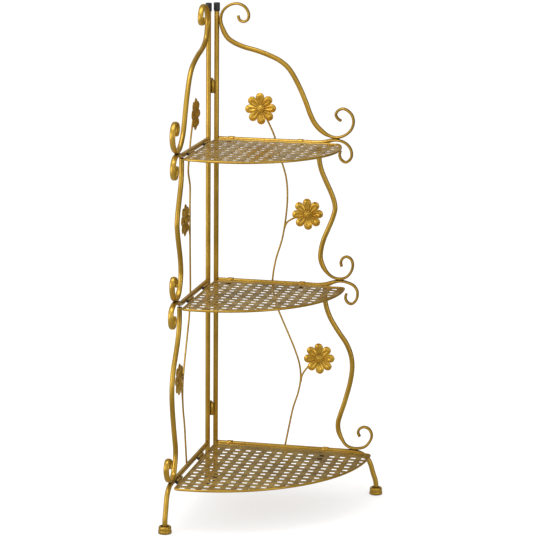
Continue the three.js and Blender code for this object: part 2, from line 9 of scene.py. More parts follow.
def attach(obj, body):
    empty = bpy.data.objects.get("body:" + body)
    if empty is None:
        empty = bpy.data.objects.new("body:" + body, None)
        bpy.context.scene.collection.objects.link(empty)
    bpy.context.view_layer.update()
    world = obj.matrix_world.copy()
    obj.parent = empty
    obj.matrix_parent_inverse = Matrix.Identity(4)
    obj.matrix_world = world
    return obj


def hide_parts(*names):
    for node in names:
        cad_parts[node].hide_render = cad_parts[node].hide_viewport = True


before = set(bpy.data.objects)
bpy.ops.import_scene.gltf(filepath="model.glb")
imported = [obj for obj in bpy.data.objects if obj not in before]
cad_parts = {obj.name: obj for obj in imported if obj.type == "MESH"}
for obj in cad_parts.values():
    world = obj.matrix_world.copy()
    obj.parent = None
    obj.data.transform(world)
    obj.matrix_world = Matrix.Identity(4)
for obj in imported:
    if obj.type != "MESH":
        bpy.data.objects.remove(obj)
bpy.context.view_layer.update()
random.seed(7)

# ------------------------------------------------------------------ sizes, in millimetres
HINGE = (-178.217, 178.783)  # the post hinge's axis
RIGHT_PLANE = 6.788
LEFT_PLANE = -7.354
TUBE = 5.3
HALF_THICK = 3.0
HALF_WIDE = 6.1
FLATTENING = 34.0
HEIGHT = 1050.0
RAIL = {"top": 761.0, "middle": 454.0, "bottom": 91.0}
FOOT_REACH = 357.0
GAP = 0.3
BARREL_RADIUS = 4.0
BARREL_BORE = 2.75
SHELF_BARREL_LENGTH = 28.0
POST_BARREL_LENGTH = 27.0
POST_BARREL_LOOK = 4.6  # a little fatter than the shelves' barrels
PIN_RADIUS = 2.3
RIM_RADIUS = 2.5
VINE_RADIUS = 2.0
VINE_OFFSET = 7.33  # from the frame's plane
FLOWER_RADIUS = 33.6
PETAL_COUNT = 8
STRAP_HALF = 6.0  # half the width of a rest and of its strap
SHELVES = {
    # arc inset, arc radius, first hole, barrels, front rest's reach and length
    "top": (84.0, 206.0, (10.5, 22.0), (66.0, 196.0), (190.0, 34.0)),
    "middle": (42.0, 251.0, (10.5, 19.0), (71.0, 200.0), (197.0, 34.0)),
    "bottom": (26.0, 327.0, (13.8, 36.5), (111.0, 290.0), (252.0, 70.0)),
}
PITCH = 23.0
HOLE = 11.5
AXIS_X = LEFT_PLANE + TUBE + 0.5 + BARREL_RADIUS  # the shelves' hinge axis
RIM_X = AXIS_X + BARREL_RADIUS + GAP + RIM_RADIUS
RIM_Y = -7.5


def place(side):
    """Maps (out from the post, outwards across the frame, up) in mm to metres."""
    if side == "right":
        return lambda u, v, z: Vector((HINGE[0] + RIGHT_PLANE + u, HINGE[1] + RIGHT_PLANE + v, z)) / 1000
    return lambda u, v, z: Vector((HINGE[0] + LEFT_PLANE - v, HINGE[1] + LEFT_PLANE - u, z)) / 1000


def level(x, y, z):
    """Places a point given in mm from the post hinge's axis and the floor."""
    return Vector((HINGE[0] + x, HINGE[1] + y, z)) / 1000


# ------------------------------------------------------------------ materials
def nodes_of(name):
    material = bpy.data.materials.new(name)
    material.use_nodes = True
    tree = material.node_tree
    return material, tree, tree.nodes["Principled BSDF"]


def ramp(tree, stops):
    node = tree.nodes.new("ShaderNodeValToRGB")
    while len(node.color_ramp.elements) < len(stops):
        node.color_ramp.elements.new(0.5)
    for element, (at, colour) in zip(node.color_ramp.elements, stops):
        element.position = at
        element.color = (*colour, 1)
    return node


def noise(tree, scale, detail=3.0, rough=0.5):
    where = tree.nodes.new("ShaderNodeTexCoord")
    node = tree.nodes.new("ShaderNodeTexNoise")
    node.inputs["Scale"].default_value = scale
    node.inputs["Detail"].default_value = detail
    node.inputs["Roughness"].default_value = rough
    tree.links.new(where.outputs["Object"], node.inputs["Vector"])
    return node


def gold(name, dark, mid, light, roughness=0.28, flake=0.02):
    """Satin metallic gold paint: cloudy colour, a faint grain, and painted shade that darkens the colour in
    corners.
    """
    material, tree, shader = nodes_of(name)
    link = tree.links.new
    cloud = noise(tree, 17.0, 1.0, 0.35)
    colour = ramp(tree, [(0.22, dark), (0.5, mid), (0.78, light)])
    link(cloud.outputs["Fac"], colour.inputs["Fac"])
    # painted shade: ambient occlusion darkens the base colour in corners and between parts
    corner = tree.nodes.new("ShaderNodeAmbientOcclusion")
    corner.inputs["Distance"].default_value = 0.009
    corner.samples = 12
    shade = ramp(tree, [(0.25, (0.30, 0.24, 0.16)), (0.8, (1, 1, 1))])
    link(corner.outputs["AO"], shade.inputs["Fac"])
    mix = tree.nodes.new("ShaderNodeMix")
    mix.data_type = "RGBA"
    mix.blend_type = "MULTIPLY"
    mix.inputs["Factor"].default_value = 1.0
    link(colour.outputs["Color"], mix.inputs[6])
    link(shade.outputs["Color"], mix.inputs[7])
    link(mix.outputs[2], shader.inputs["Base Color"])
    grain = noise(tree, 320.0, 1.0)
    gloss = tree.nodes.new("ShaderNodeMapRange")
    gloss.inputs["To Min"].default_value = roughness - 0.03
    gloss.inputs["To Max"].default_value = roughness + 0.06
    link(cloud.outputs["Fac"], gloss.inputs["Value"])
    link(gloss.outputs["Result"], shader.inputs["Roughness"])
    bump = tree.nodes.new("ShaderNodeBump")
    bump.inputs["Strength"].default_value = flake
    bump.inputs["Distance"].default_value = 0.00012
    link(grain.outputs["Fac"], bump.inputs["Height"])
    link(bump.outputs["Normal"], shader.inputs["Normal"])
    shader.inputs["Metallic"].default_value = 0.76
    shader.inputs["Coat Weight"].default_value = 0.30
    shader.inputs["Coat Roughness"].default_value = 0.22
    return material


def plain_paint(name, low, high, roughness, scale=60.0, metallic=0.0, bump_size=0.00015):
    """A cloudy two-tone surface with a fine bump."""
    material, tree, shader = nodes_of(name)
    link = tree.links.new
    cloud = noise(tree, scale, 4.0, 0.6)
    colour = ramp(tree, [(0.3, low), (0.7, high)])
    link(cloud.outputs["Fac"], colour.inputs["Fac"])
    link(colour.outputs["Color"], shader.inputs["Base Color"])
    grain = noise(tree, 900.0, 2.0)
    bump = tree.nodes.new("ShaderNodeBump")
    bump.inputs["Strength"].default_value = 0.35
    bump.inputs["Distance"].default_value = bump_size
    link(grain.outputs["Fac"], bump.inputs["Height"])
    link(bump.outputs["Normal"], shader.inputs["Normal"])
    shader.inputs["Roughness"].default_value = roughness
    shader.inputs["Metallic"].default_value = metallic
    return material


DARK, MID, LIGHT = (0.42, 0.236, 0.020), (0.52, 0.305, 0.030), (0.62, 0.382, 0.048)
gold_tube = gold("gold_tube", DARK, MID, LIGHT)
gold_sheet = gold("gold_sheet", (0.33, 0.190, 0.014), (0.44, 0.266, 0.026), (0.57, 0.365, 0.055), 0.29, 0.05)
gold_flower = gold("gold_flower", (0.48, 0.25, 0.018), (0.65, 0.365, 0.032), (0.82, 0.52, 0.070), 0.25)
# painted shade: a darker copy of the gold for the woven strips' edges round the holes
gold_edge_shade = gold("gold_edge_shade", (0.14, 0.070, 0.008), (0.21, 0.108, 0.012), (0.29, 0.16, 0.020), 0.36, 0.02)
weld = plain_paint("weld_seam", (0.05, 0.032, 0.012), (0.16, 0.095, 0.028), 0.55, 300.0, 0.5, 0.0004)
rubber = plain_paint("black_rubber", (0.010, 0.010, 0.011), (0.028, 0.028, 0.030), 0.48)


# ------------------------------------------------------------------ mesh helpers
def piece(name, vertices, faces, material, body, replaces=(), smooth=True, edges=()):
    """Makes one object; the faces numbered in edges get a darker gold, painted shade on the strips' edges
    round the holes.
    """
    mesh = bpy.data.meshes.new(name)
    mesh.from_pydata([tuple(v) for v in vertices], [], faces)
    for i in edges:
        mesh.polygons[i].material_index = 1
    mesh.validate()
    mesh.update()
    mesh.polygons.foreach_set("use_smooth", [smooth] * len(mesh.polygons))
    mesh.materials.append(material)
    if edges:
        mesh.materials.append(gold_edge_shade)
    obj = bpy.data.objects.new(name, mesh)
    bpy.context.scene.collection.objects.link(obj)
    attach(obj, body)
    if replaces:
        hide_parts(*replaces)
    return obj


def catmull(controls, step=3.0):
    """Evenly spaced points on a centripetal Catmull-Rom curve through flat control points."""
    pts = [Vector(c) for c in controls]
    pts = [pts[0] * 2 - pts[1]] + pts + [pts[-1] * 2 - pts[-2]]
    fine = []
    for i in range(1, len(pts) - 2):
        p0, p1, p2, p3 = pts[i - 1:i + 3]
        t1 = math.sqrt((p1 - p0).length)
        t2 = t1 + math.sqrt((p2 - p1).length)
        t3 = t2 + math.sqrt((p3 - p2).length)
        count = max(4, int((p2 - p1).length))
        for k in range(count):
            t = t1 + (t2 - t1) * k / count
            a1 = p0 * (t1 - t) / t1 + p1 * t / t1
            a2 = p1 * (t2 - t) / (t2 - t1) + p2 * (t - t1) / (t2 - t1)
            a3 = p2 * (t3 - t) / (t3 - t2) + p3 * (t - t2) / (t3 - t2)
            b1 = a1 * (t2 - t) / t2 + a2 * t / t2
            b2 = a2 * (t3 - t) / (t3 - t1) + a3 * (t - t1) / (t3 - t1)
            fine.append(b1 * (t2 - t) / (t2 - t1) + b2 * (t - t1) / (t2 - t1))
    fine.append(pts[-2])
    runs = [0.0]
    for a, b in zip(fine, fine[1:]):
        runs.append(runs[-1] + (b - a).length)
    count = max(2, round(runs[-1] / step))
    out, j = [], 0
    for k in range(count + 1):
        want = runs[-1] * k / count
        while j < len(runs) - 2 and runs[j + 1] < want:
            j += 1
        span = runs[j + 1] - runs[j] or 1.0
        out.append(fine[j].lerp(fine[j + 1], (want - runs[j]) / span))
    return out


def tube_mesh(points, section, to_world, across=0.0, sides=20, closed=False, round_ends=(1.0, 1.0)):
    """Sweeps an ellipse along flat points; to_world(a, across, b) places a point."""
    count = len(points)
    runs = [0.0]
    for a, b in zip(points, points[1:]):
        runs.append(runs[-1] + (b - a).length)
    rings = []
    for i in range(count):
        before = points[(i - 1) % count] if closed else points[max(i - 1, 0)]
        after = points[(i + 1) % count] if closed else points[min(i + 1, count - 1)]
        along = (after - before).normalized()
        side = Vector((-along.y, along.x))
        thick, wide = section(runs[i], runs[-1] - runs[i])
        rings.append((points[i], side, thick, wide))
    if not closed:
        for end, bevel in ((0, round_ends[0]), (-1, round_ends[1])):
            at, side, thick, wide = rings[end]
            if bevel <= 0:
                continue
            tip = (rings[0][0] - rings[1][0] if end == 0 else rings[-1][0] - rings[-2][0]).normalized()
            rings[end] = (at - tip * bevel, side, thick, wide)
            mid = (at - tip * bevel * 0.3, side, thick - bevel * 0.3, wide - bevel * 0.3)
            last = (at, side, thick - bevel, wide - bevel)
            rings = [last, mid] + rings if end == 0 else rings + [mid, last]
    vertices, faces = [], []
    for at, side, thick, wide in rings:
        for k in range(sides):
            turn = 2 * math.pi * k / sides
            flat = at + side * thick * math.cos(turn)
            vertices.append(to_world(flat.x, across + wide * math.sin(turn), flat.y))
    total = len(rings)
    for i in range(total if closed else total - 1):
        for k in range(sides):
            a, b = i * sides + k, i * sides + (k + 1) % sides
            c, d = (i + 1) % total * sides + k, (i + 1) % total * sides + (k + 1) % sides
            faces.append((a, b, d, c))
    if not closed:
        faces.append(tuple(range(sides - 1, -1, -1)))
        faces.append(tuple((total - 1) * sides + k for k in range(sides)))
    return vertices, faces


def smoothstep(x, low, high):
    t = min(max((x - low) / (high - low), 0.0), 1.0)
    return t * t * (3 - 2 * t)


def flattened(start, end):
    """The half sizes along a tube whose first and last lengths, in mm, are flattened."""
    def section(from_start, from_end):
        flat = 0.0
        if start > 0:
            flat = smoothstep(start + FLATTENING - from_start, 0, FLATTENING)
        if end > 0:
            flat = max(flat, smoothstep(end + FLATTENING - from_end, 0, FLATTENING))
        return TUBE + (HALF_THICK - TUBE) * flat, TUBE + (HALF_WIDE - TUBE) * flat
    return section


def evenly(radius):
    """The section of a round wire."""
    return lambda from_start, from_end: (radius, radius)


def turned_mesh(profile, to_world, sides=40):
    """Turns (radius, height) pairs about an axis; to_world(a, b, height) places a point."""
    vertices, faces = [], []
    for radius, height in profile:
        for k in range(sides):
            turn = 2 * math.pi * k / sides
            vertices.append(to_world(radius * math.cos(turn), radius * math.sin(turn), height))
    for i in range(len(profile) - 1):
        for k in range(sides):
            a, b = i * sides + k, i * sides + (k + 1) % sides
            faces.append((a, b, b + sides, a + sides))
    return vertices, faces


def join(vertices, faces, more):
    """Adds the vertices and faces of more to the lists."""
    shift = len(vertices)
    vertices += more[0]
    faces += [tuple(i + shift for i in face) for face in more[1]]


def blob(name, centre, size, body, seed):
    """A small uneven weld bead."""
    rng = random.Random(seed)
    vertices, faces = [], []
    rows, cols = 7, 10
    for i in range(rows + 1):
        for k in range(cols):
            lift = math.pi * i / rows
            turn = 2 * math.pi * k / cols
            wobble = 1 + rng.uniform(-0.12, 0.12)
            vertices.append(centre + Vector((
                size[0] * math.sin(lift) * math.cos(turn) * wobble,
                size[1] * math.sin(lift) * math.sin(turn) * wobble,
                size[2] * math.cos(lift) * wobble)) / 1000)
    for i in range(rows):
        for k in range(cols):
            a, b = i * cols + k, i * cols + (k + 1) % cols
            faces.append((a, b, b + cols, a + cols))
    return piece(name, vertices, faces, weld, body)


# ------------------------------------------------------------------ side frames
def frame_curves(side):
    t, m, b = RAIL["top"], RAIL["middle"], RAIL["bottom"]
    top, mid, low = t + 7 + 6.3, m + 11 + 6.3, b + TUBE + 3.3
    above = 16 + GAP + 2.4 + 2
    return {
        "top_rail": ([(5.6, t), (120, t), (195, t), (217, t), (236, t + 2), (248, t + 6), (261, t + 7),
                      (275, t + 4), (287, t - 5), (293, t - 19), (291, t - 31), (281, t - 39),
                      (271, t - 34), (267, t - 24), (269, t - 15)], 0, 98),
        "middle_rail": ([(5.6, m), (120, m), (204, m), (224, m), (243, m + 3), (256, m + 8),
                         (268, m + 11), (280, m + 11), (292, m + 8), (302, m + 3), (309, m - 7),
                         (310, m - 18), (306, m - 30), (297, m - 37), (288, m - 33), (284, m - 24),
                         (286, m - 15)], 0, 106),
        "leg_rail": ([(5.6, b), (150, b), (290, b), (306, b), (320, b - 2), (332, b - 8), (341, b - 18),
                      (346, b - 30), (350, b - 44), (FOOT_REACH - 1.5, above + 10), (FOOT_REACH, above),
                      (FOOT_REACH, 5.5)], 0, 0),
        "top_scroll": ([(46, 1024), (49, 1015), (58, 1011), (67, 1016), (69, 1028), (60, 1043),
                        (43, 1049), (24, 1043), (12, 1030), (8.6, 1012), (14, 992), (24, 976), (39, 966),
                        (60, 958), (88, 951), (117, 941), (138, 931), (156, 916), (176, 884), (193, 847),
                        (203, 821), (213, 802), (226, 788), (242, top + 3.4), (261, top - 0.3),
                        (278, top + 5), (291, top + 17), (296, top + 33), (293, top + 47),
                        (284, top + 57), (273, top + 61), (262, top + 56), (258, top + 48),
                        (262, top + 40), (270, top + 35)], 128, 140),
        "middle_scroll": ([(223, t - 5.6), (223, 742), (224, 722), (229, 702), (238, 681), (248, 660),
                           (256, 640), (259, 622), (254, 601), (245, 578), (236, 556), (230, 533),
                           (229, 513), (234, 497), (243, mid + 12), (256, mid + 2), (272, mid - 0.7),
                           (286, mid + 4), (296, mid + 17), (299, mid + 31), (295, mid + 43),
                           (286, mid + 48), (277, mid + 44), (273, mid + 35), (275, mid + 26)], 0, 118),
        "bottom_scroll": ([(240, m - 5.6), (240, 424), (244, 404), (253, 382), (270, 355), (288, 329),
                           (298, 304), (301, 280), (298, 250), (291, 220), (284, 195), (277, 173),
                           (272, 154), (273, 136), (280, 119), (290, low + 5), (302, low),
                           (314, low - 0.7), (331, low + 4), (342, low + 17), (346, low + 31),
                           (340, low + 44), (329, low + 48), (319, low + 43), (316, low + 35),
                           (320, low + 26)], 0, 132),
    }


VINES = {
    "right": (31.0, (199.0, 606.0), 636.0, 570.0),
    "left": (4.0, (180.0, 619.0), 640.0, 576.0),
}


def vine_curves(side):
    bow, (fu, fz), bow_height, joint = VINES[side]
    u = 123.0
    ju = u + bow * 0.78
    return [
        [(153, 87), (162, 134), (171, 178), (182, 214), (187, 245), (184, 276), (174, 307), (160, 340),
         (147, 369), (134, 400), (126, 430), (u, 454), (u + bow * 0.2, 500), (u + bow * 0.7, 555),
         (u + bow, bow_height), (u + bow * 0.9, 682), (u + 18, 716), (u + 8, 748), (u + 1, 772),
         (112, 798), (101, 818), (95, 828)],
        [(ju, joint), (ju + 7, joint + 16), (fu - 20, fz - 6), (fu, fz)],
        [(187, 236), (191, 254), (208, 277), (228, 292)],
    ]


def petals(radius, count, turn, root, vertices, faces, to_world):
    """Pressed spoon-shaped petals: domed outer ends, and two ridges that run in to the centre."""
    across, along, thick = 13, 15, 0.9
    full = radius * math.sin(math.pi / count) / (1 + math.sin(math.pi / count)) * 0.99
    bulge = 1 - full / (radius - root)
    for p in range(count):
        angle = turn + 2 * math.pi * p / count
        base = len(vertices)
        for layer in (0, 1):
            for i in range(along):
                f = math.sin(0.5 * math.pi * i / (along - 1))
                x = root + (radius - root) * f
                half = full * (0.40 + 0.60 * smoothstep(f, 0.0, bulge))
                if f > bulge:
                    half = full * math.sqrt(max(0.0, 1 - ((f - bulge) / (1.004 - bulge)) ** 2))
                inner = 1 - smoothstep(f, 0.50, 0.78)
                tip = smoothstep(f, 0.80, 1.0)
                for k in range(across):
                    s = -1 + 2 * k / (across - 1)
                    y = half * s
                    dome = (1 - s * s) * (1.2 + 1.7 * smoothstep(f, 0.35, 0.75)) * (1 - tip)
                    ridge = 1.5 * math.exp(-((abs(s) - 0.5) / 0.2) ** 2) * inner
                    groove = -1.3 * math.exp(-(s / 0.28) ** 2) * inner
                    height = 1.0 + 1.2 * f + dome + ridge + groove - layer * thick
                    vertices.append(to_world(
                        x * math.cos(angle) - y * math.sin(angle),
                        x * math.sin(angle) + y * math.cos(angle),
                        height))
        size = along * across
        for layer in (0, 1):
            for i in range(along - 1):
                for k in range(across - 1):
                    a = base + layer * size + i * across + k
                    quad = (a, a + across, a + across + 1, a + 1)
                    faces.append(quad if layer == 0 else quad[::-1])
        edge = [i * across for i in range(along)] + [(along - 1) * across + k for k in range(1, across)]
        edge += [i * across + across - 1 for i in range(along - 2, -1, -1)]
        for a, b in zip(edge, edge[1:]):
            faces.append((base + a, base + b, base + size + b, base + size + a))


def flower(name, side, u, z, replaces):
    world = place(side)

    def to_world(a, b, height):
        return world(u + a, TUBE - height, z + b)

    vertices, faces = [], []
    petals(FLOWER_RADIUS, PETAL_COUNT, 0.06, 4.5, vertices, faces, to_world)
    button = [(0.0, 1.6), (7.6, 1.6), (8.2, 2.6), (7.8, 3.5), (6.9, 3.7), (6.4, 3.4), (5.9, 3.9), (4.9, 5.2),
              (3.2, 6.0), (1.6, 6.3), (0.0, 6.35)]
    join(vertices, faces, turned_mesh(button, to_world, 24))
    # a ring of beads round the button
    for n in range(10):
        turn = 2 * math.pi * n / 10
        bead = [(0.0, 4.2), (0.9, 4.4), (1.25, 5.0), (1.0, 5.6), (0.5, 5.9), (0.0, 6.0)]

        def at_bead(a, b, height, turn=turn):
            return to_world(4.6 * math.cos(turn) + a, 4.6 * math.sin(turn) + b, height)

        join(vertices, faces, turned_mesh(bead, at_bead, 8))
    return piece(name, vertices, faces, gold_flower, f"{side}_frame", replaces)


def side_frame(side):
    world = place(side)
    body = f"{side}_frame"
    for name, (controls, start, end) in frame_curves(side).items():
        vertices, faces = tube_mesh(catmull(controls), flattened(start, end), world)
        piece(f"look_{side}_{name}", vertices, faces, gold_tube, body, [f"{side}_{name}"])
    post = [(0.0, 3.4), (4.9, 3.4), (TUBE, 3.8), (TUBE, 300.0), (TUBE, 700.0), (TUBE, 1046.2), (4.9, 1046.6),
            (0.0, 1046.6)]
    vertices, faces = turned_mesh(post, world, 28)
    piece(f"look_{side}_post", vertices, faces, gold_tube, body, [f"{side}_post"])
    cap = [(0.0, 0.0), (5.2, 0.0), (6.1, 0.3), (6.55, 1.0), (6.7, 2.2), (6.7, 15.4), (6.6, 17.0), (6.2, 17.5),
           (5.6, 17.4), (5.6, 16.0)]
    vertices, faces = turned_mesh(cap, world, 28)
    piece(f"look_{side}_post_foot_cap", vertices, faces, rubber, body, [f"{side}_post_foot_cap"])
    vertices, faces = turned_mesh([(r, HEIGHT - h) for r, h in cap], world, 28)
    piece(f"look_{side}_post_cap", vertices, [f[::-1] for f in faces], rubber, body, [f"{side}_post_cap"])

    def at_foot(a, b, height):
        return world(FOOT_REACH + a, b, height)

    foot = [(0.0, 0.0), (12.6, 0.0), (13.6, 0.4), (14.0, 1.4), (14.0, 5.2), (13.7, 6.1), (13.1, 6.5),
            (12.9, 7.0), (13.2, 7.6), (13.3, 9.0), (13.3, 11.4), (13.0, 13.2), (12.2, 14.6),
            (10.9, 15.4), (9.6, 15.6), (8.7, 15.1), (8.3, 14.0), (8.2, 11.6), (5.7, 11.4), (5.7, 9.0)]
    vertices, faces = turned_mesh(foot, at_foot, 36)
    piece(f"look_{side}_foot", vertices, faces, gold_tube, body, [f"{side}_foot"])
    ring = [(5.7, 12.6), (6.9, 12.7), (7.3, 13.2), (7.1, 14.0), (6.4, 14.5), (5.7, 14.6)]
    vertices, faces = turned_mesh(ring, at_foot, 28)
    piece(f"look_{side}_foot_ring", vertices, faces, rubber, body, [f"{side}_foot_ring"])

    vertices, faces = [], []
    for curve in vine_curves(side):
        wire = tube_mesh(catmull(curve), evenly(VINE_RADIUS), world, VINE_OFFSET, 12, round_ends=(0.7, 0.7))
        join(vertices, faces, wire)
    piece(f"look_{side}_vine", vertices, faces, gold_tube, body, [f"{side}_vine"])
    _, middle, _, _ = VINES[side]
    for name, (u, z) in {"top": (95, 828), "middle": middle, "bottom": (228, 292)}.items():
        flower(f"look_{side}_{name}_flower", side, u, z, [f"{side}_{name}_flower"])

    # weld beads where tubes and wires meet
    spots = {
        "rail_top": (5.7, 0, RAIL["top"], (1.6, 4.6, 4.8)),
        "rail_middle": (5.7, 0, RAIL["middle"], (1.6, 4.6, 4.8)),
        "rail_bottom": (5.7, 0, RAIL["bottom"], (1.6, 4.6, 4.8)),
        "scroll_post": (5.5, 0, 1012, (1.0, 2.6, 7.0)),
        "scroll_top": (261, 0, RAIL["top"] + 10.4, (6.5, 5.4, 0.8)),
        "scroll_middle": (272, 0, RAIL["middle"] + 14.2, (6.5, 5.4, 0.8)),
        "scroll_bottom": (307, 0, RAIL["bottom"] + 5.5, (6.5, 5.0, 0.8)),
        "under_top": (223, 0, RAIL["top"] - 5.3, (5.7, 5.2, 1.0)),
        "under_middle": (240, 0, RAIL["middle"] - 5.3, (5.7, 5.2, 1.0)),
        "vine_top": (125, 5.5, RAIL["top"], (2.4, 1.0, 3.0)),
        "vine_middle": (123, 5.5, RAIL["middle"], (2.2, 1.0, 3.0)),
        "vine_bottom": (153.6, 5.5, RAIL["bottom"], (2.4, 1.0, 3.0)),
    }
    for i, (name, (u, v, z, size)) in enumerate(spots.items()):
        if side == "left":
            size = (size[1], size[0], size[2])
        blob(f"weld_{side}_{name}", world(u, v, z), size, body, i)


side_frame("right")
side_frame("left")


# ------------------------------------------------------------------ hinges
def ring_barrel(name, centre, axis, length, material, body, replaces, radius=BARREL_RADIUS):
    """A rolled barrel with a bore and softened edges about an axis through centre (mm)."""
    soft = 0.4
    edge = radius - soft
    profile = [(BARREL_BORE, 0.0), (edge, 0.0), (radius, soft), (radius, length - soft), (edge, length),
               (BARREL_BORE, length), (BARREL_BORE, 0.0)]
    turn = Vector((0, 0, 1)).rotation_difference(Vector(axis)).to_matrix()

    def to_world(a, b, height):
        p = turn @ Vector((a, b, height - length / 2))
        return level(centre[0] + p.x, centre[1] + p.y, centre[2] + p.z)

    vertices, faces = turned_mesh(profile, to_world, 24)
    return piece(name, vertices, faces, material, body, replaces)


for level_name, top in (("upper", 886.0), ("lower", 181.0)):
    ring_barrel(f"look_hinge_barrel_{level_name}", (0, 0, top - POST_BARREL_LENGTH / 2), (0, 0, 1),
                POST_BARREL_LENGTH, gold_tube, "right_frame", [f"right_hinge_barrel_{level_name}"],
                POST_BARREL_LOOK)
    arm = top + 3.5
    path = catmull([(4.8, arm), (3.2, arm), (1.6, arm - 0.4), (0.4, arm - 1.6), (0, arm - 3.6),
                    (0, top - 24.0)], 0.8)

    def pin_world(a, across, z):
        x = -(a + across) * math.sqrt(0.5)
        y = -(a - across) * math.sqrt(0.5)
        return level(x, y, z)

    vertices, faces = tube_mesh(path, evenly(PIN_RADIUS), pin_world, 0.0, 14, round_ends=(0.3, 0.5))
    piece(f"look_hinge_pin_{level_name}", vertices, faces, gold_tube, "left_frame",
          [f"left_hinge_pin_{level_name}"])
    blob(f"weld_pin_{level_name}", level(-3.5, -3.5, arm), (2.0, 2.0, 3.0), "left_frame", 40)
    blob(f"weld_barrel_{level_name}", level(2.95, 2.95, top - 8.0), (1.4, 1.4, 5.0), "right_frame", 41)
    blob(f"weld_barrel_low_{level_name}", level(2.95, 2.95, top - 19.0), (1.4, 1.4, 5.0), "right_frame", 42)


# ------------------------------------------------------------------ shelves
def outline(inset_x, radius, inset):
    """The rim's path as flat points: rear corner, right side, arc, front tip and left side."""
    left, right = RIM_X + inset, RIM_Y - inset
    r = radius - inset
    right_tip = inset_x + math.sqrt(r * r - (right + inset_x) ** 2)
    left_tip = -inset_x - math.sqrt(r * r - (left - inset_x) ** 2)
    bend = 9.0 - inset * 0.5
    start = math.atan2(right + inset_x, right_tip - inset_x)
    end = math.atan2(left_tip + inset_x, left - inset_x)
    trim = bend / r

    def on_arc(angle):
        return Vector((inset_x + r * math.cos(angle), -inset_x + r * math.sin(angle)))

    def corner(a, b, c):
        a, b, c = Vector(a), Vector(b), Vector(c)
        return [a.lerp(b, t / 6).lerp(b.lerp(c, t / 6), t / 6) for t in range(7)]

    points = corner((left, right - bend), (left, right), (left + bend, right))
    points += corner((right_tip - bend, right), (right_tip, right), on_arc(start - trim))
    points += [on_arc(start - trim + (end + trim - start + trim) * i / 60) for i in range(1, 60)]
    points += corner(on_arc(end + trim), (left, left_tip), (left, left_tip + bend))
    return points


def woven(tier, d, radius, first):
    """Flat strips woven over and under each other, clipped to the rim."""
    z0 = RAIL[tier] + 1.15
    inner = radius - 1.6
    left, right = RIM_X + 1.6, RIM_Y - 1.6
    vertices, faces, edges = [], [], []
    width = PITCH - HOLE
    lift, thick = 0.40, 1.2
    profile = (-0.34, -0.04, 0.05, -0.10, -0.02, -0.10, 0.05, -0.04, -0.34)

    def chord(c):
        """Half of the arc's chord at distance c from its centre line."""
        return math.sqrt(max(inner * inner - c * c, 0.0))

    def strip(lo, hi, along_x, parity):
        rows, cross = [], 9
        samples = [lo + (hi - lo) * k / (cross - 1) for k in range(cross)]
        ends = []
        for s in samples:
            if along_x:
                c = s + d
                reach = chord(c)
                ends.append((max(left, d - reach), d + reach) if reach > 0 else (d, d))
            else:
                c = s - d
                reach = chord(c)
                ends.append((-d - reach, min(right, -d + reach)) if reach > 0 else (-d, -d))
        longest = max(e[1] - e[0] for e in ends)
        if longest < 3:
            return
        count = max(3, int(longest / 2.3))
        for i in range(count + 1):
            row = []
            for k, (s, (a, b)) in enumerate(zip(samples, ends)):
                t = a + (b - a) * i / count
                if along_x:
                    cell = (t - (RIM_X + first[0])) / PITCH
                else:
                    cell = ((RIM_Y - first[1]) - t) / PITCH
                wave = math.sin(math.pi * cell + math.pi * parity)
                height = z0 + lift * wave + profile[k]
                x, y = (t, s) if along_x else (s, t)
                row.append((x, y, height))
            rows.append(row)
        base = len(vertices)
        n = cross
        for layer in (0, 1):
            for row in rows:
                for x, y, h in row:
                    vertices.append(level(x, y, h - layer * thick))
        size = len(rows) * n
        for i in range(len(rows) - 1):
            for k in range(n - 1):
                a = base + i * n + k
                q = (a, a + n, a + n + 1, a + 1)
                q = q if not along_x else q[::-1]
                faces.append(q)
                faces.append(tuple(v + size for v in q[::-1]))
            # the strips' side faces along the holes get the darker gold of painted shade
            for k in (0, n - 1):
                a = base + i * n + k
                edges.append(len(faces))
                faces.append((a, a + n, a + n + size, a + size))
        for i in (0, len(rows) - 1):
            for k in range(n - 1):
                a = base + i * n + k
                faces.append((a, a + 1, a + 1 + size, a + size))

    # strips along X lie between the rows of holes; the widest border strip fills the right side
    y = RIM_Y - first[1]
    top_edge = y + HOLE / 2
    borders = max(1, round((right - top_edge) / width))
    for k in range(borders):
        a = right - (right - top_edge) * k / borders
        b = right - (right - top_edge) * (k + 1) / borders
        strip(b + 0.15, a - 0.15, True, k + 1)
    j = 0
    while y - HOLE / 2 > -d - inner:
        lo = y - PITCH + HOLE / 2
        hi = y - HOLE / 2
        strip(max(lo, -d - inner + 0.3), hi, True, j)
        y -= PITCH
        j += 1
    # strips along Y
    x = RIM_X + first[0]
    strip(left, x - HOLE / 2, False, 1)
    i = 0
    while x + HOLE / 2 < d + inner:
        strip(x + HOLE / 2, min(x + PITCH - HOLE / 2, d + inner - 0.3), False, i)
        x += PITCH
        i += 1
    return vertices, faces, edges


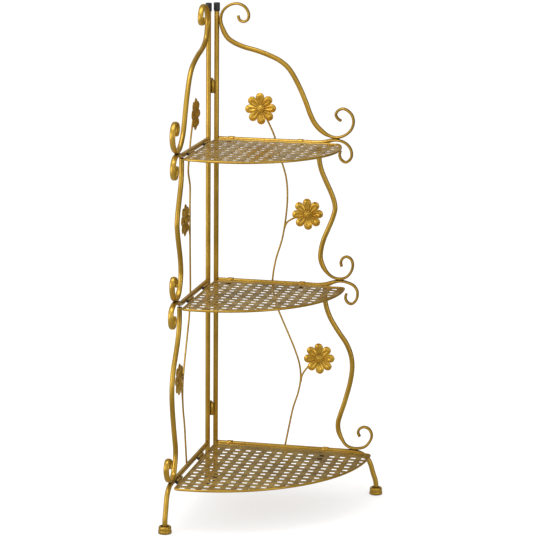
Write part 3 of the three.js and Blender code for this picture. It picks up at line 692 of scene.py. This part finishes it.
for tier, (d, radius, first, barrels, rest) in SHELVES.items():
    body = f"{tier}_shelf"
    z = RAIL[tier]
    vertices, faces, edges = woven(tier, d, radius, first)
    piece(f"look_{tier}_sheet", vertices, faces, gold_sheet, body, [f"{tier}_shelf_sheet"], edges=edges)

    def flat_world(a, across, b, z=z):
        return level(a, b, z - across)

    vertices, faces = tube_mesh(outline(d, radius, 0.0), evenly(RIM_RADIUS), flat_world, 0.0, 16, True)
    piece(f"look_{tier}_rim", vertices, faces, gold_tube, body, [f"{tier}_shelf_rim"])
    for where, reach in zip(("rear", "front"), barrels):
        ring_barrel(f"look_{tier}_barrel_{where}", (AXIS_X, -reach, z), (0, -1, 0), SHELF_BARREL_LENGTH,
                    gold_tube, body, [f"{tier}_shelf_barrel_{where}"])
        # a black plug in the barrel's front end
        face = SHELF_BARREL_LENGTH / 2
        plug = [(0.0, face), (3.5, face), (3.75, face + 0.3), (3.75, face + 0.9), (3.4, face + 1.2),
                (0.0, face + 1.2)]

        def at_plug(a, b, height, reach=reach, z=z):
            return level(AXIS_X + a, -reach - height, z + b)

        vertices, faces = turned_mesh(plug, at_plug, 20)
        piece(f"look_{tier}_plug_{where}", vertices, faces, rubber, body)
        path = catmull([(11.0, 0), (-24.0, 0), (-26.6, -0.4), (-28.4, -2.0), (-29.0, -4.2)], 0.8)

        def shelf_pin(a, across, b, reach=reach, z=z):
            return level(AXIS_X + b, -reach - a, z + across)

        vertices, faces = tube_mesh(path, evenly(PIN_RADIUS), shelf_pin, 0.0, 14, round_ends=(0.6, 0.2))
        piece(f"look_{tier}_pin_{where}", vertices, faces, gold_tube, "left_frame",
              [f"{tier}_shelf_pin_{where}"])
        at = level(AXIS_X - 4.4, -reach + 29.0, z)
        blob(f"weld_{tier}_pin_{where}", at, (1.2, 3.4, 3.2), "left_frame", 50)
        for n, off in enumerate((-7.0, 7.0)):
            at = level(AXIS_X + 4.15, -reach + off, z)
            blob(f"weld_{tier}_barrel_{where}_{n}", at, (0.9, 4.0, 1.8), body, 51 + n)
    rests = {"rear": (40.0, 24.0), "front": rest}
    for where, (reach, length) in rests.items():
        inner_y = RIGHT_PLANE - length
        outer_y = 1.9
        corner_r = 3.0
        half = STRAP_HALF
        profile = []
        for cx, cy, a0 in ((reach - half + corner_r, inner_y + corner_r, math.pi),
                           (reach + half - corner_r, inner_y + corner_r, 1.5 * math.pi)):
            for k in range(6):
                a = a0 + k * math.pi / 10
                profile.append((cx + corner_r * math.cos(a), cy + corner_r * math.sin(a)))
        profile += [(reach + half, outer_y), (reach - half, outer_y)]
        n = len(profile)
        vertices = [level(px, py, z - drop) for drop in (2.8, 4.4) for px, py in profile]
        faces = [tuple(range(n)), tuple(range(2 * n - 1, n - 1, -1))]
        faces += [(k, k + n, (k + 1) % n + n, (k + 1) % n) for k in range(n)]
        piece(f"look_{tier}_rest_{where}", vertices, faces, gold_tube, "right_frame",
              [f"right_{tier}_rest_{where}"], smooth=False)
        blob(f"weld_{tier}_rest_{where}", level(reach, 2.5, z - 3.4), (5.0, 1.2, 1.1), "right_frame", 60)
        # the strap's loop round the rail
        inside, soft, outside = TUBE + 0.05, TUBE + 1.0, TUBE + 1.3
        band = [(inside, -STRAP_HALF), (soft, -STRAP_HALF), (outside, -5.6), (outside, 5.6),
                (soft, STRAP_HALF), (inside, STRAP_HALF), (inside, -STRAP_HALF)]

        def at_band(a, b, height, reach=reach, z=z):
            return level(reach + height, RIGHT_PLANE + a, z + b)

        vertices, faces = turned_mesh(band, at_band, 28)
        piece(f"look_{tier}_strap_{where}", vertices, faces, gold_flower, "right_frame")


# ------------------------------------------------------------------ floor, light and camera
# The floor shines a little by itself, which keeps the shadow light, and looks grey in reflections.
stage_material, tree, shader = nodes_of("pale_floor")
shader.inputs["Base Color"].default_value = (0.44, 0.44, 0.44, 1)
shader.inputs["Roughness"].default_value = 0.9
shader.inputs["Specular IOR Level"].default_value = 0.0
shader.inputs["Emission Color"].default_value = (1, 1, 1, 1)
shader.inputs["Emission Strength"].default_value = 0.60
in_gloss = tree.nodes.new("ShaderNodeEmission")
in_gloss.inputs["Color"].default_value = (1, 1, 1, 1)
where = tree.nodes.new("ShaderNodeTexCoord")
split = tree.nodes.new("ShaderNodeSeparateXYZ")
tree.links.new(where.outputs["Object"], split.inputs["Vector"])
left_to_right = tree.nodes.new("ShaderNodeMapRange")
left_to_right.inputs["From Min"].default_value = -1.8
left_to_right.inputs["From Max"].default_value = 1.8
left_to_right.inputs["To Min"].default_value = 0.62
left_to_right.inputs["To Max"].default_value = 0.07
tree.links.new(split.outputs["X"], left_to_right.inputs["Value"])
tree.links.new(left_to_right.outputs["Result"], in_gloss.inputs["Strength"])
seen = tree.nodes.new("ShaderNodeMixShader")
rays = tree.nodes.new("ShaderNodeLightPath")
tree.links.new(rays.outputs["Is Glossy Ray"], seen.inputs["Fac"])
tree.links.new(shader.outputs["BSDF"], seen.inputs[1])
tree.links.new(in_gloss.outputs["Emission"], seen.inputs[2])
tree.links.new(seen.outputs["Shader"], tree.nodes["Material Output"].inputs["Surface"])


def add_floor():
    mesh = bpy.data.meshes.new("floor")
    half, z = 80.0, -0.0002
    mesh.from_pydata([(-half, -half, z), (half, -half, z), (half, half, z), (-half, half, z)], [],
                     [(0, 1, 2, 3)])
    obj = bpy.data.objects.new("floor", mesh)
    mesh.materials.append(stage_material)
    bpy.context.scene.collection.objects.link(obj)


add_floor()

world = bpy.data.worlds.new("studio")
bpy.context.scene.world = world
world.use_nodes = True
tree = world.node_tree
background = tree.nodes["Background"]
background.inputs["Color"].default_value = (1, 1, 1, 1)
background.inputs["Strength"].default_value = 1.0
paths = tree.nodes.new("ShaderNodeLightPath")
backdrop = tree.nodes.new("ShaderNodeBackground")
backdrop.inputs["Color"].default_value = (1, 1, 1, 1)
backdrop.inputs["Strength"].default_value = 1.0
chooser = tree.nodes.new("ShaderNodeMixShader")
tree.links.new(paths.outputs["Is Camera Ray"], chooser.inputs["Fac"])
tree.links.new(background.outputs["Background"], chooser.inputs[1])
tree.links.new(backdrop.outputs["Background"], chooser.inputs[2])
gloss = tree.nodes.new("ShaderNodeBackground")
gloss.inputs["Color"].default_value = (1, 1, 1, 1)
where = tree.nodes.new("ShaderNodeTexCoord")
toward = tree.nodes.new("ShaderNodeVectorMath")
toward.operation = "DOT_PRODUCT"
toward.inputs[1].default_value = (-0.50, -0.86, 0.0)  # bright in front and on the left, dim behind
tree.links.new(where.outputs["Generated"], toward.inputs[0])
back_to_front = tree.nodes.new("ShaderNodeMapRange")
back_to_front.inputs["From Min"].default_value = -1.0
back_to_front.inputs["From Max"].default_value = 1.0
back_to_front.inputs["To Min"].default_value = 0.03
back_to_front.inputs["To Max"].default_value = 0.92
tree.links.new(toward.outputs["Value"], back_to_front.inputs["Value"])
tree.links.new(back_to_front.outputs["Result"], gloss.inputs["Strength"])
reflected = tree.nodes.new("ShaderNodeMixShader")
tree.links.new(paths.outputs["Is Glossy Ray"], reflected.inputs["Fac"])
tree.links.new(chooser.outputs["Shader"], reflected.inputs[1])
tree.links.new(gloss.outputs["Background"], reflected.inputs[2])
tree.links.new(reflected.outputs["Shader"], tree.nodes["World Output"].inputs["Surface"])


def area(name, at, aim, size, power):
    light = bpy.data.lights.new(name, "AREA")
    light.shape = "RECTANGLE"
    light.size, light.size_y = size
    light.energy = power
    obj = bpy.data.objects.new(name, light)
    obj.location = at
    obj.rotation_euler = (Vector(aim) - Vector(at)).to_track_quat("-Z", "Y").to_euler()
    bpy.context.scene.collection.objects.link(obj)


area("key", (-2.3, -2.1, 1.0), (-0.1, 0, 0.55), (0.8, 2.2), 20)
area("fill", (2.5, -1.6, 1.0), (0, 0, 0.55), (0.5, 2.0), 9)
area("above", (-0.6, -0.6, 3.0), (0, 0, 0.4), (1.6, 1.6), 24)
area("back", (-0.9, 3.0, 2.0), (-0.1, 0, 0.5), (3.0, 1.0), 5)

YAW, PITCH_DOWN, ROLL = math.radians(12.61), math.radians(12.05), math.radians(0.45)
FOCAL_PIXELS, PICTURE_PIXELS = 2444, 540
CAMERA_FROM_HINGE = Vector((1.2422, -4.9838, 1.573))  # metres, from the hinge's axis and the floor
forward = Vector((-math.sin(YAW) * math.cos(PITCH_DOWN), math.cos(YAW) * math.cos(PITCH_DOWN),
                  -math.sin(PITCH_DOWN)))
right = Vector((math.cos(YAW), math.sin(YAW), 0))
up = right.cross(forward)
rolled_right = right * math.cos(ROLL) + up * math.sin(ROLL)
rolled_up = up * math.cos(ROLL) - right * math.sin(ROLL)
camera = bpy.data.cameras.new("camera")
camera.sensor_fit = "HORIZONTAL"
camera.sensor_width = 36.0
camera.lens = camera.sensor_width * FOCAL_PIXELS / PICTURE_PIXELS
camera.clip_end = 300
camera_object = bpy.data.objects.new("camera", camera)
basis = Matrix((rolled_right, rolled_up, -forward)).transposed()
camera_at = CAMERA_FROM_HINGE + level(0, 0, 0)
camera_object.matrix_world = Matrix.Translation(camera_at) @ basis.to_4x4()
bpy.context.scene.collection.objects.link(camera_object)
bpy.context.scene.camera = camera_object
bpy.context.scene.view_settings.view_transform = "Standard"
